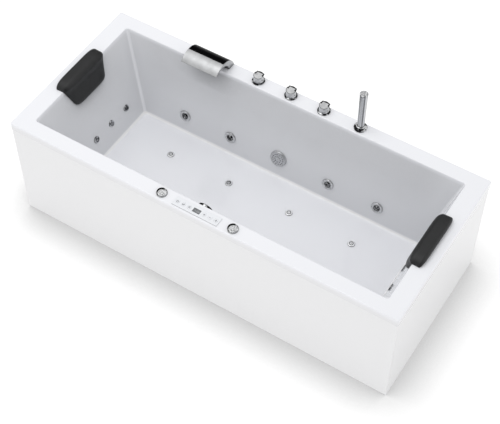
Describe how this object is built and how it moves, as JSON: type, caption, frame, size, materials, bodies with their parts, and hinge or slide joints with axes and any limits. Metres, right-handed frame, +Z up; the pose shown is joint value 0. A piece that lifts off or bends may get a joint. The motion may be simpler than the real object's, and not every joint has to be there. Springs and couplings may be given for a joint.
{
  "type": "jetted bathtub",
  "caption": "Rectangular white jetted bathtub on a skirted steel frame, with neck pillows, waterfall spout, deck valves, hand shower and water and air jets.",
  "frame": {"origin": "centre of the footprint, on the floor", "axes": "+X along the length towards the pump end, +Y to the deck valves' side, +Z up"},
  "size_m": [1.8, 0.775, 0.752],
  "materials": {
    "acrylic_white": "gloss acrylic",
    "panel_white": "satin acrylic",
    "board": "raw board",
    "galvanised_steel": "zinc plated",
    "foot_rubber": "matt",
    "grey_plastic": "moulded",
    "chrome": "polished",
    "pipe_white": "pipe plastic",
    "black_gloss": "gloss",
    "plate_white": "gloss",
    "black_plastic": "moulded",
    "motor_paint": "satin paint",
    "rotor_steel": "turned",
    "pillow_charcoal": "soft matt foam skin"
  },
  "bodies": {
    "tub": {"bath_shell": "acrylic_white", "support_boards": "board", "long_rails": "galvanised_steel", "cross_rails": "galvanised_steel", "uprights": "galvanised_steel", "foot_stems": "galvanised_steel", "foot_pads": "foot_rubber", "lock_nuts": "galvanised_steel", "back_panel": "panel_white", "left_panel": "panel_white", "right_panel": "panel_white", "panel_brackets": "galvanised_steel", "side_jet_bodies": "grey_plastic", "side_jet_rings": "chrome", "air_jet_bodies": "grey_plastic", "air_jet_caps": "chrome", "suction_cover": "chrome", "overflow_body": "chrome", "waste_body": "chrome", "waste_pipes": "pipe_white", "spout_body": "chrome", "spout_cover": "black_gloss", "valve_bases": "chrome", "handset_holder": "chrome", "air_control_rings": "chrome", "control_plate": "plate_white", "display_window": "black_gloss", "pump_housing": "black_plastic", "pump_motor": "motor_paint", "blower_housing": "black_plastic", "water_pipes": "pipe_white", "air_pipes": "pipe_white", "control_box": "grey_plastic"},
    "front_panel": {"front_panel": "panel_white"},
    "side_jet_nozzle_1": {"side_jet_nozzle_1": "black_gloss"},
    "side_jet_nozzle_2": {"side_jet_nozzle_2": "black_gloss"},
    "side_jet_nozzle_3": {"side_jet_nozzle_3": "black_gloss"},
    "side_jet_nozzle_4": {"side_jet_nozzle_4": "black_gloss"},
    "side_jet_nozzle_5": {"side_jet_nozzle_5": "black_gloss"},
    "side_jet_nozzle_6": {"side_jet_nozzle_6": "black_gloss"},
    "side_jet_nozzle_7": {"side_jet_nozzle_7": "black_gloss"},
    "side_jet_nozzle_8": {"side_jet_nozzle_8": "black_gloss"},
    "valve_handle_1": {"valve_handle_1": "chrome"},
    "valve_handle_2": {"valve_handle_2": "chrome"},
    "valve_handle_3": {"valve_handle_3": "chrome"},
    "handset": {"handset": "chrome"},
    "air_knob_left": {"air_knob_left": "chrome"},
    "air_knob_right": {"air_knob_right": "chrome"},
    "overflow_knob": {"overflow_knob": "chrome"},
    "waste_plug": {"waste_plug": "chrome"},
    "key_1": {"key_1": "plate_white"},
    "key_2": {"key_2": "plate_white"},
    "key_3": {"key_3": "plate_white"},
    "key_4": {"key_4": "plate_white"},
    "key_5": {"key_5": "plate_white"},
    "key_6": {"key_6": "plate_white"},
    "pump_rotor": {"pump_rotor": "rotor_steel"},
    "blower_rotor": {"blower_rotor": "rotor_steel"},
    "pillow_left": {"pillow_left": "pillow_charcoal"},
    "pillow_right": {"pillow_right": "pillow_charcoal"}
  },
  "joints": [
    {"name": "front_panel_off", "type": "slide", "parent": "tub", "child": "front_panel", "axis": [0, -1, 0], "range_m": [0, 0.3]},
    {"name": "nozzle_1_swivel", "type": "hinge", "parent": "tub", "child": "side_jet_nozzle_1", "pos_m": [-0.48492, 0.26216, 0.23323], "axis": [0, 0.1933, 0.9811], "range_deg": [-15, 15]},
    {"name": "nozzle_2_swivel", "type": "hinge", "parent": "tub", "child": "side_jet_nozzle_2", "pos_m": [-0.24696, 0.26216, 0.23323], "axis": [0, 0.1933, 0.9811], "range_deg": [-15, 15]},
    {"name": "nozzle_3_swivel", "type": "hinge", "parent": "tub", "child": "side_jet_nozzle_3", "pos_m": [0.24696, 0.26216, 0.23323], "axis": [0, 0.1933, 0.9811], "range_deg": [-15, 15]},
    {"name": "nozzle_4_swivel", "type": "hinge", "parent": "tub", "child": "side_jet_nozzle_4", "pos_m": [0.48492, 0.26216, 0.23323], "axis": [0, 0.1933, 0.9811], "range_deg": [-15, 15]},
    {"name": "nozzle_5_swivel", "type": "hinge", "parent": "tub", "child": "side_jet_nozzle_5", "pos_m": [-0.48492, -0.26216, 0.23323], "axis": [0, -0.1933, 0.9811], "range_deg": [-15, 15]},
    {"name": "nozzle_6_swivel", "type": "hinge", "parent": "tub", "child": "side_jet_nozzle_6", "pos_m": [-0.24696, -0.26216, 0.23323], "axis": [0, -0.1933, 0.9811], "range_deg": [-15, 15]},
    {"name": "nozzle_7_swivel", "type": "hinge", "parent": "tub", "child": "side_jet_nozzle_7", "pos_m": [0.24696, -0.26216, 0.23323], "axis": [0, -0.1933, 0.9811], "range_deg": [-15, 15]},
    {"name": "nozzle_8_swivel", "type": "hinge", "parent": "tub", "child": "side_jet_nozzle_8", "pos_m": [0.48492, -0.26216, 0.23323], "axis": [0, -0.1933, 0.9811], "range_deg": [-15, 15]},
    {"name": "valve_1_turn", "type": "hinge", "parent": "tub", "child": "valve_handle_1", "pos_m": [-0.165, 0.3565, 0.55], "axis": [0, 0, 1], "range_deg": [0, 90]},
    {"name": "valve_2_turn", "type": "hinge", "parent": "tub", "child": "valve_handle_2", "pos_m": [-0.006, 0.3565, 0.55], "axis": [0, 0, 1], "range_deg": [-90, 90]},
    {"name": "valve_3_turn", "type": "hinge", "parent": "tub", "child": "valve_handle_3", "pos_m": [0.153, 0.3565, 0.55], "axis": [0, 0, 1], "range_deg": [-90, 0]},
    {"name": "handset_lift", "type": "slide", "parent": "tub", "child": "handset", "axis": [0, 0, 1], "range_m": [0, 0.15]},
    {"name": "air_knob_left_turn", "type": "hinge", "parent": "tub", "child": "air_knob_left", "pos_m": [-0.16506, -0.356, 0.55], "axis": [0, 0, 1], "range_deg": [-90, 90]},
    {"name": "air_knob_right_turn", "type": "hinge", "parent": "tub", "child": "air_knob_right", "pos_m": [0.16506, -0.356, 0.55], "axis": [0, 0, 1], "range_deg": [-90, 90]},
    {"name": "overflow_knob_turn", "type": "hinge", "parent": "tub", "child": "overflow_knob", "pos_m": [-0.005, -0.30809, 0.487], "axis": [0, 0.9811, 0.1933], "range_deg": [0, 90]},
    {"name": "waste_plug_lift", "type": "slide", "parent": "tub", "child": "waste_plug", "axis": [0, 0, 1], "range_m": [0, 0.01]},
    {"name": "key_1_press", "type": "slide", "parent": "tub", "child": "key_1", "axis": [0, 0, -1], "range_m": [0, 0.0008], "stiffness_N_per_m": 400, "springref_m": -0.0005},
    {"name": "key_2_press", "type": "slide", "parent": "tub", "child": "key_2", "axis": [0, 0, -1], "range_m": [0, 0.0008], "stiffness_N_per_m": 400, "springref_m": -0.0005},
    {"name": "key_3_press", "type": "slide", "parent": "tub", "child": "key_3", "axis": [0, 0, -1], "range_m": [0, 0.0008], "stiffness_N_per_m": 400, "springref_m": -0.0005},
    {"name": "key_4_press", "type": "slide", "parent": "tub", "child": "key_4", "axis": [0, 0, -1], "range_m": [0, 0.0008], "stiffness_N_per_m": 400, "springref_m": -0.0005},
    {"name": "key_5_press", "type": "slide", "parent": "tub", "child": "key_5", "axis": [0, 0, -1], "range_m": [0, 0.0008], "stiffness_N_per_m": 400, "springref_m": -0.0005},
    {"name": "key_6_press", "type": "slide", "parent": "tub", "child": "key_6", "axis": [0, 0, -1], "range_m": [0, 0.0008], "stiffness_N_per_m": 400, "springref_m": -0.0005},
    {"name": "pump_rotor_spin", "type": "hinge", "parent": "tub", "child": "pump_rotor", "pos_m": [0.814, 0.06, 0.17], "axis": [0, 1, 0], "continuous": true},
    {"name": "blower_rotor_spin", "type": "hinge", "parent": "tub", "child": "blower_rotor", "pos_m": [-0.814, 0.09, 0.158], "axis": [0, 1, 0], "continuous": true},
    {"name": "pillow_left_lift", "type": "slide", "parent": "tub", "child": "pillow_left", "axis": [0, 0, 1], "range_m": [0, 0.15]},
    {"name": "pillow_right_lift", "type": "slide", "parent": "tub", "child": "pillow_right", "axis": [0, 0, 1], "range_m": [0, 0.15]}
  ],
  "couplings": [
    {"joint": "waste_plug_lift", "follows": "overflow_knob_turn", "m_per_rad": 0.006366}
  ]
}
